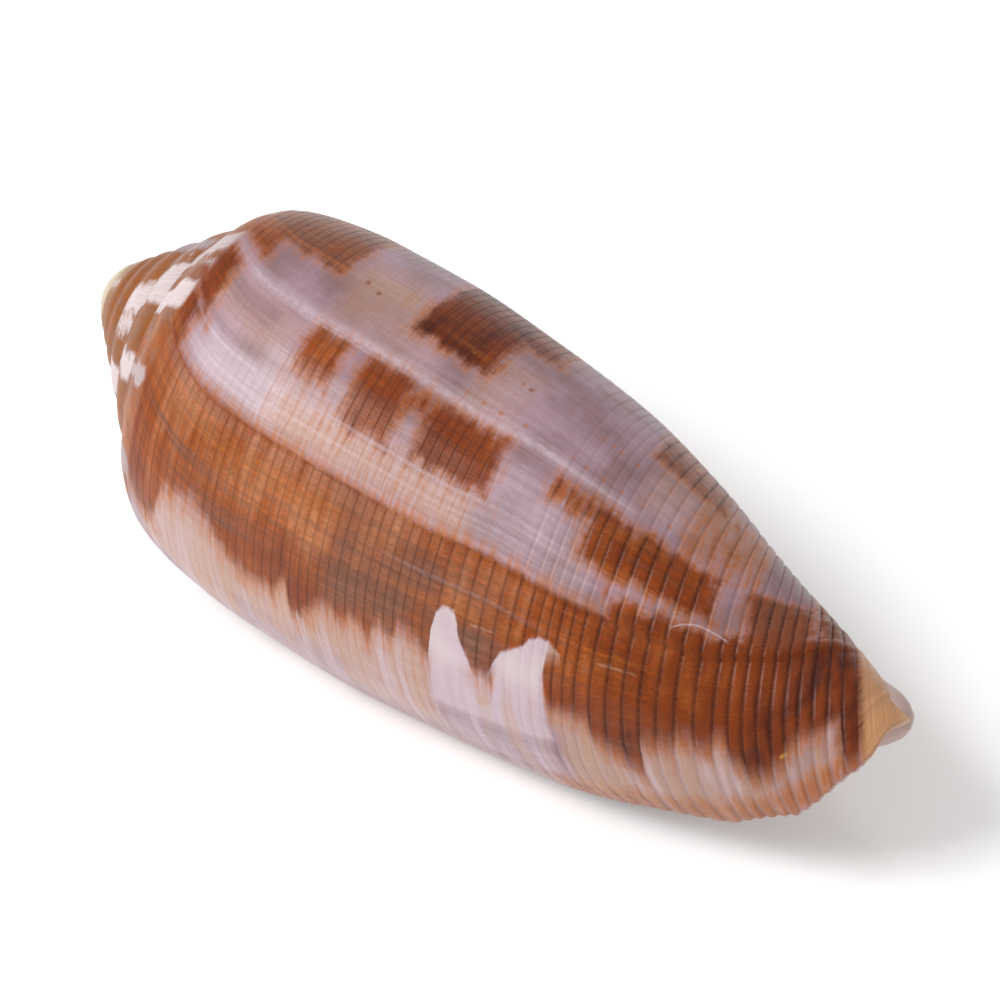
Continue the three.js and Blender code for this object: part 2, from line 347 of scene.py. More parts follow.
# Brown patches, then how dark each is and how solid (below 0 only streaks of it show).
PATCHES = [
    ((9.6, 16.7, -190, -142), 0.5, 2), ((9.6, 12.4, -150, -131), 0.35, 1),
    ((22.7, 27.9, -190, -137), 0.85, 2), ((27, 30.4, -190, -160), 0.75, 1),
    ((38.4, 43.4, -190, -153), 0.55, 0.25), ((42.6, 46.6, -165, -121), 0.15, -0.2),
    ((9.9, 11.5, -122.3, -102), 0.7, 2), ((9.3, 11, -101, -91), 0.65, 1),
    ((9.2, 10.9, -94, -34), 0.65, 1), ((9.2, 11.5, -190, -133), 0.4, 1),
    ((18.2, 20.4, -122, -107), 0.4, 0.4), ((21.9, 25, -122, -101), 0.5, 2),
    ((26.6, 31.2, -121, -103), 0.6, 2), ((25, 26.8, -119, -114), 0.4, 0.2),
    ((37.3, 44.8, -119.5, -101), 0.55, 0.5), ((34.8, 37.5, -119, -113), 0.35, 0.1),
    ((46.7, 50.6, -119.5, -92), 0.6, 1), ((39.6, 56, -95, -79), 0.6, 0.7),
    ((18, 30.4, -100.3, -91.5), 0.1, -0.5), ((47, 53.9, -95, -41), 0.8, 2),
    ((51, 53.9, -190, -95), 0.7, 0.6), ((52.6, 53.9, -41, -3), 0.8, 0.3),
    ((36.5, 53.6, -9.5, -2), 0.3, 0),
    # The far side, which the photograph doesn't show.
    ((9.6, 15, -238, -210), 0.35, 1.5), ((13, 18, -226, -212), 0.4, 0.8),
    ((20.5, 25.2, -236, -207), 0.6, 1.5), ((27.8, 31, -252, -216), 0.75, 1.5),
    ((30, 33.6, -240, -224), 0.6, 0.6), ((36.5, 40.5, -232, -208), 0.55, 0.8),
    ((44.5, 50.5, -246, -214), 0.6, 1), ((9.6, 13, -284, -262), 0.3, 1.5),
    ((16.4, 21, -272, -252), 0.5, 1), ((24, 28.4, -300, -266), 0.7, 1.5),
    ((27, 32, -282, -268), 0.6, 0.8), ((34.8, 38.8, -290, -262), 0.55, 0.8),
    ((41.5, 49, -298, -272), 0.55, 1), ((9.6, 18.5, -332, -306), 0.35, 1.5),
    ((20.5, 24.2, -346, -318), 0.65, 1.2), ((27.5, 36.5, -344, -322), 0.6, 1.2),
    ((31, 34, -330, -308), 0.5, 0.6), ((39.6, 44, -350, -318), 0.5, 0.8),
]
BAND_TOP = -87.4  # the broad brown band starts here, at the main scar
# And its lower edge, as ages by place along.
BAND_FOOT = line_through([
    (7, -30), (9.6, -33), (11.5, -34), (12.1, -40), (12.5, -51), (13.6, -58), (16.2, -57),
    (16.8, -50), (17.5, -46), (20.5, -46), (20.8, -51), (21.4, -51), (21.6, -43), (22.6, -43),
    (22.9, -50), (26.8, -50), (27.1, -56), (28.1, -53), (28.4, -57.5), (29.4, -57.5),
    (29.9, -53), (30.35, -49.5), (30.5, -58), (31.5, -62), (32, -59), (32.6, -55), (33, -51),
    (33.9, -51), (34.2, -60), (36.8, -62),
    (37, -46), (39.2, -46), (39.9, -36), (40.6, -29), (41.8, -29), (42.8, -42),
    (44.2, -41), (46, -42), (47.1, -27), (48.3, -21), (49.7, -28), (50, -33), (52.2, -30),
    (52.7, -26), (53.1, -6), (57, -4),
])
# White teeth rise into the band: their upper edge, and how far down they stay white.
TOOTH_TOP = [
    (29.8, -40), (30.2, -48), (30.32, -60), (30.5, -66.6), (30.8, -68.4), (31.15, -68.8),
    (31.5, -68.2), (31.75, -66), (31.9, -62), (32.2, -58.5), (32.6, -55), (32.9, -50.5),
    (33.5, -50), (33.8, -54), (34.1, -58), (34.45, -61.4), (35, -62.8), (35.5, -65),
    (35.9, -67.6), (36.3, -68.8), (36.8, -68.4), (37.3, -66.6), (37.6, -64.4), (37.75, -61),
    (37.8, -40),
]
TOOTH_FOOT = [(29.8, -46), (33, -46), (33.4, -50), (36.6, -47), (36.9, -59), (37.8, -60)]
TOOTH_AGES = (-90, 0)  # both edges lie between these ages
TOOTH_CREAM_FROM = 36.7
# Small cream chips in the band.
CHIPS = [
    (32.3, 34, -66.6, -65.6), (39.5, 41.7, -64.8, -63.8), (44.15, 44.5, -48.9, -47.2),
    (33, 33.8, -44, -40),
]
# How dark the band is, by place along.
BAND_DARK = line_through([
    (9, 0.45), (12, 0.18), (25, 0.18), (33, 0.3), (38, 0.35), (47, 0.6), (48, 0.75), (54, 0.85),
])
# Small brown dots, and the ages of two rows of them.
DOTS = [(30.4, -141.5), (19.5, -142), (18.5, -144), (43.4, -145), (44.4, -145)]
DOT_ROWS = [-142, -128]
SPECK = (49.3, -30)  # a yellow grain
DOT_EDGE = (0.24, 0.08)  # a dot fades between these distances from its middle, in millimetres
# Paler and yellower ground, then how far it goes: 1 is all cream.
CREAMS = [
    ((11, 30.2, -54, -20), 0.75), ((17.5, 24.5, -32, -15), -0.6), ((37.2, 56, -46, -4), 0.6),
    ((30.6, 37.4, -36, -12), -0.5), ((17.6, 30.6, -101, -90), 0.7), ((17, 22, -160, -142), 0.25),
    ((27.5, 31, -150, -123), 0.35), ((10.5, 17.5, -121, -107), 0.4), ((18, 25, -152, -127), 0.3),
    ((39, 47, -150, -120), 0.35), ((8, 56, -12, 0), 0.4),
]
# Lighter and darker ground: 1 is almost white, -1 is a shade greyer. The paler boxes from along
# 11 to 38.5 between ages -117 and -81 are paler ground with painted highlight over it, the band
# from -127.5 to -122 is a pale band with a painted beaded highlight, and the darker strip along
# the top edge, from -190 to -170, is painted shade.
GROUND_TONES_AND_PAINTED_LIGHT = [
    ((11, 31.2, -112, -88), 0.45), ((12.5, 18.5, -103, -89), 0.3), ((10.4, 16, -121, -104), -0.6),
    ((31.2, 38.5, -117, -81), 0.45), ((9.8, 39, -127.5, -122), 0.55), ((30.4, 37, -60, -36), 1.1),
    ((30.6, 37, -38, -14), 0.6), ((12.4, 30.5, -57, -12), 0.45), ((47, 53.6, -45, -6), -0.5),
    ((47, 57, -190, -122), -0.7), ((9.8, 50, -190, -170), -0.5), ((30, 47, -165, -128), -0.2),
    ((44.6, 46.8, -119, -96), -0.4),
]
# Thin pale growth lines: age, half width, strength and where along they start. The first, at
# -124, is also a painted beaded highlight along the ridge there.
PALE_LINES_AND_HIGHLIGHT = [
    (-124, 2.2, 0.5, 9), (-100.7, 0.9, 0.4, 9), (-95.2, 0.7, 0.25, 9), (-75.2, 1, 0.14, 25),
]
# A thin pale arc near the anterior end: its middle along, its age there, half width and bend.
ARC = (44.5, -89.6, 1.5, 4.4)
# Greyer browns, then how grey. The box at along 9 to 17, from ages -190 to -140, is greyed also as
# painted shade on the top side.
GREYS_AND_TOP_SHADE = [
    ((24, 34, -80, -53), 1), ((38, 44, -190, -150), 0.7), ((46.7, 54, -125, -93), 0.6),
    ((9, 17, -190, -140), 0.8), ((12, 25, -72, -52), 0.25),
]

# Pale flames on the spire, as from, to and whiteness. They lean, so they are given where they
# cross the shoulder.
FLAME_LEAN = 5.4  # degrees for each millimetre of the ramp
FLAME_AGE_TO_MM = 0.15  # a degree of growth on the last turn's ramp, in millimetres
EARLY_FLAMES_TO = -900  # flames before this age are longer and farther apart
FLAMES = [
    (-40, -31, 0.4), (-69, -63, 0.55), (-103, -91, 1), (-112, -110, 0.6), (-127, -116, 0.75),
    (-425, -412, 1), (-474, -450, 0.95), (-497, -485, 0.4), (-765, -742, 1),
    (-785, -783, 0.8), (-796, -787, 0.9), (-820, -799, 1), (-874, -853, 0.3),
]
# Stretches of the spire that the photograph shows.
SEEN_FLAMES = [(-140, -25), (-505, -395), (-885, -735), (-1260, -1090), (-1630, -1450)]
# How dark the spire's browns are, by age.
SPIRE_DARK = line_through([
    (-2000, 0.3), (-1100, 0.45), (-850, 0.3), (-820, 0.3), (-780, 0.5), (-480, 0.5), (-450, 0.62),
    (-430, 0.6), (-400, 0.35), (-120, 0.25), (-104, 0.5), (-88, 0.35), (-62, 0.3), (-45, 0.12),
    (0, 0.2),
])


def all_flames():
    """The flames seen in the photograph, and others like them on the rest of the spire."""
    flames = list(FLAMES)
    random = np.random.default_rng(31)
    start = float(FIRST_AGE)
    while start < 0:
        early = start < EARLY_FLAMES_TO
        dark = random.uniform(30, 70) if early else random.uniform(14, 36)
        pale = random.uniform(8, 16) if early else random.uniform(7, 22)
        end = start + dark + pale
        if not any(low - 4 < end and start + dark < high + 4 for low, high in SEEN_FLAMES):
            flames.append((start + dark, end, random.uniform(0.4, 1.0)))
        start = end
    return flames


def spire_markings(where, age):
    """Brown (negative inside a pale flame), darkness and whiteness on the spire."""
    leaned = age + FLAME_LEAN * np.minimum(where, 1.5) + 2.2 * smooth_noise(where * 1.1 + 20, 51)
    size = np.exp(GROWTH_PER_RADIAN * np.radians(age))
    pale, white = FAR_OUT, 0
    for start, end, whiteness in all_flames():
        inside = np.minimum(leaned - start, end - leaned) * FLAME_AGE_TO_MM * size
        pale = np.maximum(pale, inside)
        white = np.where(inside > -0.3, np.maximum(white, whiteness), white)
    return -pale, SPIRE_DARK(leaned), white


def box_depth(along, age, box):
    """How far inside a box of the markings a place lies, in millimetres."""
    across = np.minimum(along - box[0], box[1] - along)
    round_it = np.minimum(age - box[2], box[3] - age) * AGE_TO_MM
    return np.minimum(across, round_it)


def total(along, age, boxes, soft):
    """The boxes' amounts added up, each with a soft edge so many millimetres wide each way."""
    return sum(
        amount * smoothstep(box_depth(along, age, box), -soft, soft) for box, amount in boxes
    )


def blotches(along, lined, jag, on_body):
    """How far inside the nearest brown patch a place lies, and how dark that is."""
    wander = 0.22 * smooth_noise(lined / 4, 41) + 0.2 * smooth_noise(lined / 11, 42)
    # The guessed blotches of the far side are bent out of their boxes.
    far = smoothstep(-lined, *FAR_SIDE)
    wander = wander + far * 1.5 * smooth_noise(lined / 7.5, 61)
    bend = far * 9 * smooth_noise(along / 2.7, 62)
    jagged = np.where(lined > JAGGED_FROM, lined + 1.5 * jag * on_body, lined + 0.6 * jag) + bend
    brown, dark_sum, weight = FAR_OUT, 0, 1e-6
    for box, darkness, solid in PATCHES:
        depth = np.minimum(box_depth(along + wander, jagged, box), solid)
        brown = np.maximum(brown, depth)
        share = smoothstep(depth, -0.8, 0.6) + 1e-6
        dark_sum, weight = dark_sum + share * darkness, weight + share
    return brown, dark_sum / weight


def band_depth(along, age, lined, jag, on_body):
    """How far inside the broad brown band a place lies."""
    foot = age + (2 + 1.6 * smoothstep(along, 38, 42)) * jag * on_body
    rib_middle = groove_place(np.floor(groove_number(along)) + 0.5)
    stepped = along + (rib_middle - along) * smoothstep(along, 36, 40) * 0.8
    return np.minimum(lined - BAND_TOP, BAND_FOOT(stepped) - foot) * AGE_TO_MM


def outside_fields(along, where, age):
    """What the shader needs to know of each place on the outside."""
    on_body = where > 0
    rib = np.floor(groove_number(along)).astype(int)
    jag = np.random.default_rng(5).uniform(-1, 1, 200)[rib % 200]
    lined = line_age(along, age)
    brown, dark = blotches(along, lined, jag, on_body)
    band = band_depth(along, age, lined, jag, on_body)
    brown = np.maximum(brown, np.where(where > -0.6, band, FAR_OUT))
    in_band = smoothstep(band, -0.6, 0.6)
    lower = smoothstep(lined, -72, -55) * (1 - smoothstep(along, 44, 48))
    dark = dark * (1 - in_band) + in_band * (BAND_DARK(along) + 0.25 * lower)
    chips = np.maximum(FAR_OUT, np.max([box_depth(along, age, box) for box in CHIPS], 0))
    spire = np.clip(smoothstep(-where, -0.35, 0.1) + smoothstep(-age, *SPIRE_FROM), 0, 1)
    spire_brown, spire_dark, spire_light = spire_markings(where, age)
    # The wall that the last whorl covers is seen only in the aperture, pale like the inside.
    covered = smoothstep(-age, *COVERED) * smoothstep(where, 0.8, 1.8)

    def blend(body, of_spire):
        return body + (of_spire - body) * spire

    return {
        "along": along, "age": age, "lined": lined, "where": where, "rib": groove_number(along),
        "inside": covered,
        "brown": blend(np.clip(brown, FAR_OUT, -FAR_OUT), np.clip(spire_brown, FAR_OUT, -FAR_OUT)),
        "dark": blend(dark, spire_dark),
        "chips": blend(chips, FAR_OUT),
        "cream": blend(total(along, age, CREAMS, 0.9), 0.2),
        # The light field holds paler and darker ground with painted highlight and painted shade, and on
        # the spire the flames' whiteness.
        "light": blend(total(along, lined, GROUND_TONES_AND_PAINTED_LIGHT, 0.6), spire_light),
        # Greyer browns, one box of them also painted shade on the top side.
        "grey": blend(total(along, lined, GREYS_AND_TOP_SHADE, 1.2), 0.15),
        "spire": spire,
    }


# The mesh, put together from grids of points.
class Skin:
    """Vertices with their fields, and faces with the places they take on the flat map."""

    FIELDS = ("along", "age", "lined", "rib", "where", "brown", "dark", "chips", "cream", "light",
              "grey", "spire", "inside")

    def __init__(self):
        self.points, self.fields = [], {name: [] for name in self.FIELDS}
        self.faces, self.maps = [], []
        self.count = 0

    def add(self, points, **fields):
        """Adds a grid of points and returns the grid of their numbers."""
        shape = points.shape[:-1]
        self.points.append(points.reshape(-1, 3))
        for name in self.FIELDS:
            values = np.broadcast_to(fields.get(name, 0.0), shape)
            self.fields[name].append(np.asarray(values, float).ravel())
        numbers = np.arange(self.count, self.count + int(np.prod(shape))).reshape(shape)
        self.count += numbers.size
        return numbers

    def cover(self, numbers, box, across=None, up=None, inward=False):
        """Faces over a grid of vertex numbers, mapped into a box (u0, v0, u1, v1)."""
        columns, rows = numbers.shape
        u = np.linspace(0, 1, rows) if across is None else scaled(across)
        v = np.linspace(0, 1, columns) if up is None else scaled(up)
        u = box[0] + u * (box[2] - box[0])
        v = box[1] + v * (box[3] - box[1])
        for i in range(columns - 1):
            for j in range(rows - 1):
                corners = [(i, j), (i + 1, j), (i + 1, j + 1), (i, j + 1)]
                if inward:
                    corners.reverse()
                self.faces.append([int(numbers[c]) for c in corners])
                self.maps.append([(u[c[1]], v[c[0]]) for c in corners])

    def mesh(self, name, to_world):
        points = np.concatenate(self.points) @ to_world[0].T + to_world[1]
        mesh = bpy.data.meshes.new(name)
        mesh.from_pydata((points * MM).tolist(), [], self.faces)
        for field, parts in self.fields.items():
            layer = mesh.attributes.new(field, "FLOAT", "POINT")
            layer.data.foreach_set("value", np.concatenate(parts).astype(np.float32))
        flat = mesh.uv_layers.new(name="OFBake")
        uv = np.array([corner for face in self.maps for corner in face], np.float32)
        flat.data.foreach_set("uv", uv.ravel())
        mesh.polygons.foreach_set("use_smooth", np.ones(len(mesh.polygons), bool))
        mesh.update()
        return mesh


skin = Skin()

# The outside of the last whorl and of the one under it, with all rows.
along, radius, where, age = outer_grid(COLUMNS, np.arange(len(row_along)))
smooth_points = place(along, radius, age)
outer_points = place(along, radius, age, relief(along, where, age))
outer = skin.add(outer_points, **outside_fields(along, where, age))
skin.cover(outer, OUTSIDE_MAP, across=row_where, up=COLUMNS)


def add_spire():
    """The earlier whorls, with the rows of the ramp and the shoulder."""
    few = np.arange(spire_row_count)
    along, radius, where, age = outer_grid(SPIRE_COLUMNS, few)
    points = place(along, radius, age, relief(along, where, age) * SPIRE_RELIEF)
    spire = skin.add(points, **outside_fields(along, where, age))
    spire = np.vstack([spire, outer[:1, :spire_row_count]])
    ages = np.append(SPIRE_COLUMNS, COLUMNS[0])
    skin.cover(spire, SPIRE_MAP, across=row_where[few], up=ages)


add_spire()

# The inside of the wall, from the row that the ramp's first third ends with.
inner_columns = np.flatnonzero(COLUMNS >= INNER_FROM)
first_row = RAMP_ROW_COUNT // 3
inner_rows = np.arange(first_row, len(row_along))
pick = np.ix_(inner_columns, inner_rows)
wall = FULL_WALL + (LIP_WALL - FULL_WALL) * smoothstep(age, -LIP_BEVEL, 0)
inner_points = (smooth_points - wall[..., None] * normals_of(smooth_points))[pick]
inner = skin.add(inner_points, along=along[pick], age=age[pick], where=where[pick], inside=1)


def thinned(length, step):
    """Every step-th index, counted from the last, and the first."""
    return sorted(set(range(length - 1, -1, -step)) | {0})


def cover_inside():
    """Faces over the inside, with few rows and columns except along its free edges."""
    u0, v0, u1, v1 = INSIDE_MAP
    u = scaled(row_where[inner_rows]) * (u1 - u0) + u0
    v = scaled(COLUMNS[inner_columns]) * (v1 - v0) + v0
    columns = thinned(len(inner_columns), INNER_COLUMN_STEP)
    rows = thinned(len(inner_rows), INNER_ROW_STEP)
    for a, b in zip(columns, columns[1:]):
        for c, d in zip(rows, rows[1:]):
            corners = [(a, c), (b, c)]
            if b == len(inner_columns) - 1:
                corners += [(b, row) for row in range(c + 1, d)]
            corners.append((b, d))
            if d == len(inner_rows) - 1:
                corners += [(column, d) for column in range(b - 1, a, -1)]
            corners.append((a, d))
            corners.reverse()
            skin.faces.append([int(inner[corner]) for corner in corners])
            skin.maps.append([(u[j], v[i]) for i, j in corners])


def add_edge():
    """The rounded free edge, along the lip and on round the anterior end."""
    lip = [(len(COLUMNS) - 1, row) for row in inner_rows]
    end = [(column, len(row_along) - 1) for column in inner_columns[::-1][1:]]
    columns, rows = np.array(lip + end).T
    inner_spots = (columns - inner_columns[0], rows - first_row)
    outer_edge, inner_edge = outer_points[columns, rows], inner_points[inner_spots]
    across = outer_edge - inner_edge
    outward = np.cross(np.gradient(outer_edge, axis=0), across)
    outward /= np.linalg.norm(outward, axis=1, keepdims=True)
    half_wall = np.linalg.norm(across, axis=1, keepdims=True) / 2
    middle = (outer_edge + inner_edge) / 2
    turns = np.radians(np.linspace(0, 180, EDGE_STEPS + 1))[1:-1]
    points = np.stack(
        [middle + across / 2 * math.cos(t) + outward * half_wall * 0.5 * math.sin(t) for t in turns],
        1,
    )
    edge = skin.add(
        points, along=along[columns, rows][:, None], age=age[columns, rows][:, None],
        where=where[columns, rows][:, None], inside=np.linspace(0, 1, EDGE_STEPS + 1)[1:-1],
        cream=0.8, brown=FAR_OUT, chips=FAR_OUT,
    )
    edge = np.column_stack([outer[columns, rows], edge, inner[inner_spots]])
    skin.cover(edge, EDGE_MAP, inward=True)


cover_inside()
add_edge()


def rings_of(middles, radii, leans, sides):
    """Points of rings about the axis, sides by rings, each ring moved off it by its lean."""
    around = circle(sides)[:, None]
    lean = math.radians(COLUMELLA_LEAN_ANGLE)
    return np.stack(
        [
            np.broadcast_to(middles, (sides, len(middles))),
            leans * math.cos(lean) + radii * np.cos(around),
            leans * math.sin(lean) + radii * np.sin(around),
        ],
        -1,
    )


def add_columella():
    """The columella, a smooth leaning pillar."""
    places = np.linspace(COLUMELLA[0][0], COLUMELLA[-1][0], COLUMELLA_RINGS)
    radii = curve_through([(x, r) for x, r, _ in COLUMELLA])(places)
    leans = curve_through([(x, lean) for x, _, lean in COLUMELLA])(places)
    places = np.append(places, places[-1] + COLUMELLA_TIP[0])
    radii = np.append(radii, COLUMELLA_TIP[1])
    leans = np.append(leans, leans[-1])
    points = rings_of(places, radii, leans, COLUMELLA_SIDES)
    pillar = skin.add(points, along=places, age=0, inside=1)
    skin.cover(np.vstack([pillar, pillar[:1]]), COLUMELLA_MAP)


def add_dome():
    """The rounded first whorl."""
    centre, height, radius = APEX_DOME
    tilt = np.radians(np.linspace(2, 100, DOME_RINGS))
    points = rings_of(centre - height * np.cos(tilt), radius * np.sin(tilt), 0, DOME_SIDES)
    dome = skin.add(
        points, along=8, age=FIRST_AGE, spire=1, where=-2, brown=FAR_OUT, chips=FAR_OUT
    )
    skin.cover(np.vstack([dome, dome[:1]]), DOME_MAP)
    skin.faces.append([int(number) for number in dome[::-1, 0]])
    u, v, size = DOME_TOP_MAP
    skin.maps.append(
        [(u + size * math.cos(t), v + size * math.sin(t)) for t in circle(DOME_SIDES)[::-1]]
    )


add_columella()
add_dome()

# Laying the shell down where the CAD part lies.
rest = np.array(
    Matrix.Rotation(math.radians(REST_PITCH), 3, "Y") @ Matrix.Rotation(math.radians(REST_ROLL), 3, "X")
)
laid = np.concatenate(skin.points) @ rest.T
low, high = laid.min(0), laid.max(0)
node_low, node_high = (np.array(corner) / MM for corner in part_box("cone_shell"))
shift = (node_low + node_high) / 2 - (low + high) / 2
shift[2] = node_low[2] - low[2]

shell = bpy.data.objects.new("shell", skin.mesh("shell", (rest, shift)))
bpy.context.scene.collection.objects.link(shell)
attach(shell, "root")
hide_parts("cone_shell")


# The shell's material.
def srgb(red, green, blue):
    """A colour given in 0 to 255 as it looks, turned linear."""
    parts = [c / 255 for c in (red, green, blue)]
    return tuple(c / 12.92 if c <= 0.04045 else ((c + 0.055) / 1.055) ** 2.4 for c in parts) + (1,)


LILAC = srgb(184, 152, 166)
LILAC_GREY = srgb(138, 107, 112)
NEAR_WHITE = srgb(220, 198, 208)
CREAM = srgb(206, 164, 136)
SALMON_BROWN = srgb(188, 120, 80)
RED_BROWN = srgb(162, 80, 24)
MID_BROWN = srgb(134, 56, 2)
DARK_BROWN = srgb(86, 26, 2)
GREY_BROWN = srgb(138, 90, 70)
GROOVE_BROWN = srgb(80, 26, 4)
TAN = srgb(194, 112, 46)
SPIRE_WHITE = srgb(226, 208, 208)
APEX_CREAM = srgb(218, 202, 176)
SPIRE_BROWN = srgb(160, 96, 40)
SPIRE_GREY = srgb(142, 104, 82)
INSIDE = srgb(206, 176, 168)
TOOTH = srgb(226, 210, 213)
FASCIOLE = srgb(214, 152, 100)
# The colour of the painted highlight on the anterior end's edge.
FASCIOLE_EDGE_HIGHLIGHT = srgb(240, 200, 150)
YELLOW = srgb(236, 180, 60)
SHADE = 0.8  # all of the colours, set against the strong light


class Nodes:
    """Short ways of adding linked shader nodes."""

    def __init__(self, tree):
        self.tree = tree

    def put(self, socket, value):
        if isinstance(value, bpy.types.NodeSocket):
            self.tree.links.new(value, socket)
        else:
            socket.default_value = value

    def add(self, kind, inputs=(), out=0, **settings):
        node = self.tree.nodes.new(kind)
        for name, value in settings.items():
            setattr(node, name, value)
        for name, value in dict(inputs).items():
            self.put(node.inputs[name], value)
        return node.outputs[out]

    def math(self, operation, a, b=0, c=0, clamp=False):
        inputs = {0: a, 1: b, 2: c}
        return self.add("ShaderNodeMath", inputs, operation=operation, use_clamp=clamp)

    def chain(self, operation, values, clamp):
        result = values[0]
        for value in values[1:]:
            result = self.math(operation, result, value, clamp=clamp)
        return result

    def plus(self, *values, clamp=False):
        return self.chain("ADD", values, clamp)

    def times(self, *values, clamp=False):
        return self.chain("MULTIPLY", values, clamp)

    def minus(self, a, b):
        return self.math("SUBTRACT", a, b)

    def linear(self, a, slope, start, clamp=False):
        return self.math("MULTIPLY_ADD", a, slope, start, clamp)

    def swing(self, noise, amount):
        """Noise from 0 to 1, made to swing about zero."""
        return self.linear(noise, amount, -amount / 2)

    def apart(self, a, b):
        return self.math("ABSOLUTE", self.minus(a, b))

    def step(self, value, low, high, to_low=0, to_high=1):
        inputs = {"Value": value, "From Min": low, "From Max": high, "To Min": to_low, "To Max": to_high}
        return self.add("ShaderNodeMapRange", inputs, interpolation_type="SMOOTHSTEP")

    def noise(self, x, x_scale, y, y_scale, z=0, detail=2, roughness=0.5):
        """Noise over two coordinates, each with a fineness of its own."""
        across, up = self.times(x, x_scale), self.times(y, y_scale)
        spot = self.add("ShaderNodeCombineXYZ", {"X": across, "Y": up, "Z": z})
        inputs = {"Vector": spot, "Scale": 1, "Detail": detail, "Roughness": roughness}
        return self.add("ShaderNodeTexNoise", inputs)

    def mix(self, share, a, b):
        return self.add("ShaderNodeMix", {0: share, 6: a, 7: b}, out=2, data_type="RGBA")

    def scale(self, colour, factor):
        return self.add("ShaderNodeVectorMath", {0: colour, "Scale": factor}, operation="SCALE")

    def curve(self, x, points, low, high):
        """A line through points, its values between low and high."""
        node = self.tree.nodes.new("ShaderNodeFloatCurve")
        start, end = points[0][0], points[-1][0]
        line = node.mapping.curves[0]
        while len(line.points) < len(points):
            line.points.new(0.5, 0.5)
        for point, (at, value) in zip(line.points, points):
            point.location = ((at - start) / (end - start), (value - low) / (high - low))
            point.handle_type = "VECTOR"
        node.mapping.update()
        share = self.linear(x, 1 / (end - start), -start / (end - start), clamp=True)
        self.put(node.inputs["Value"], share)
        return self.linear(node.outputs[0], high - low, low)


# The look is built up by functions that share the nodes n and the fields f.
def shell_fields(n):
    """The mesh's fields, and noise drawn out along the spiral or growth lines or in clouds."""
    f = SimpleNamespace()
    for name in Skin.FIELDS:
        setattr(f, name, n.add("ShaderNodeAttribute", out="Fac", attribute_name=name))
    f.round_it = n.times(f.age, AGE_TO_MM)
    f.lined_mm = n.times(f.lined, AGE_TO_MM)
    f.streaks = n.noise(f.along, 1.6, f.round_it, 0.22, detail=3)
    f.fine_streaks = n.noise(f.along, 5, f.round_it, 0.5, 3, detail=3)
    # Growth lines are fainter towards the anterior end.
    calm = n.step(f.along, 40, 46, 1, 0.2)
    rings = n.noise(f.along, 0.06, f.lined_mm, 3.2, 7, detail=4, roughness=0.6)
    f.rings = n.linear(n.minus(rings, 0.5), calm, 0.5)
    slow_rings = n.noise(f.along, 0.09, f.lined_mm, 0.8, 23, detail=3)
    f.slow_rings = n.linear(n.minus(slow_rings, 0.5), calm, 0.5)
    f.clouds = n.noise(f.along, 0.28, f.round_it, 0.28, 1, detail=3)
    f.grain = n.noise(f.along, 2.2, f.lined_mm, 2.2, 5, detail=4, roughness=0.65)
    # Distance from the nearest groove, 0 in it and 0.5 half way between two.
    f.from_groove = n.math("PINGPONG", f.rib, 0.5)
    f.in_groove = n.step(f.from_groove, 0.15, 0.03)
    f.beads = n.noise(f.rib, 1.3, f.lined_mm, 5.2, 9, roughness=0.7)
    f.bead = n.step(f.beads, 0.36, 0.66)
    f.striae = n.noise(f.along, 0.5, f.lined_mm, 7, 17)
    return f


def add_cover(n, f):
    """Where browns cover the ground. Edges are ragged, but for the band's top, along the scar."""
    raggedness = n.step(n.apart(f.lined, BAND_TOP), 0.8, 6, 0.2, 1)
    jags = n.times(n.minus(f.streaks, 0.5), n.step(f.along, 10, 15, 0.2, 0.7))
    jags = n.plus(jags, n.swing(f.grain, 0.8), n.swing(f.fine_streaks, 0.3))
    f.ragged = n.linear(jags, raggedness, f.brown)
    softer = n.times(n.step(f.along, 37, 42, 0, 0.9), n.step(f.age, -62, -48))
    soft = n.plus(n.step(f.age, -75, -55, 0.24, 0.65), n.step(f.lined, -88, -96, 0, 0.2), softer)
    f.cover = n.step(f.ragged, n.times(soft, -1), soft)


def add_teeth(n, f):
    """Where the white teeth lie over the band, the brown showing through them at their foot."""
    from_top = n.minus(f.age, n.curve(f.along, TOOTH_TOP, *TOOTH_AGES))
    from_top = n.linear(from_top, AGE_TO_MM, n.swing(f.grain, 0.5))
    from_foot = n.minus(f.age, n.curve(f.along, TOOTH_FOOT, *TOOTH_AGES))
    f.tooth = n.times(n.step(from_top, -0.08, 0.2), n.step(from_foot, -9, 0, 1, 0))
    f.not_tooth = n.minus(1, f.tooth)


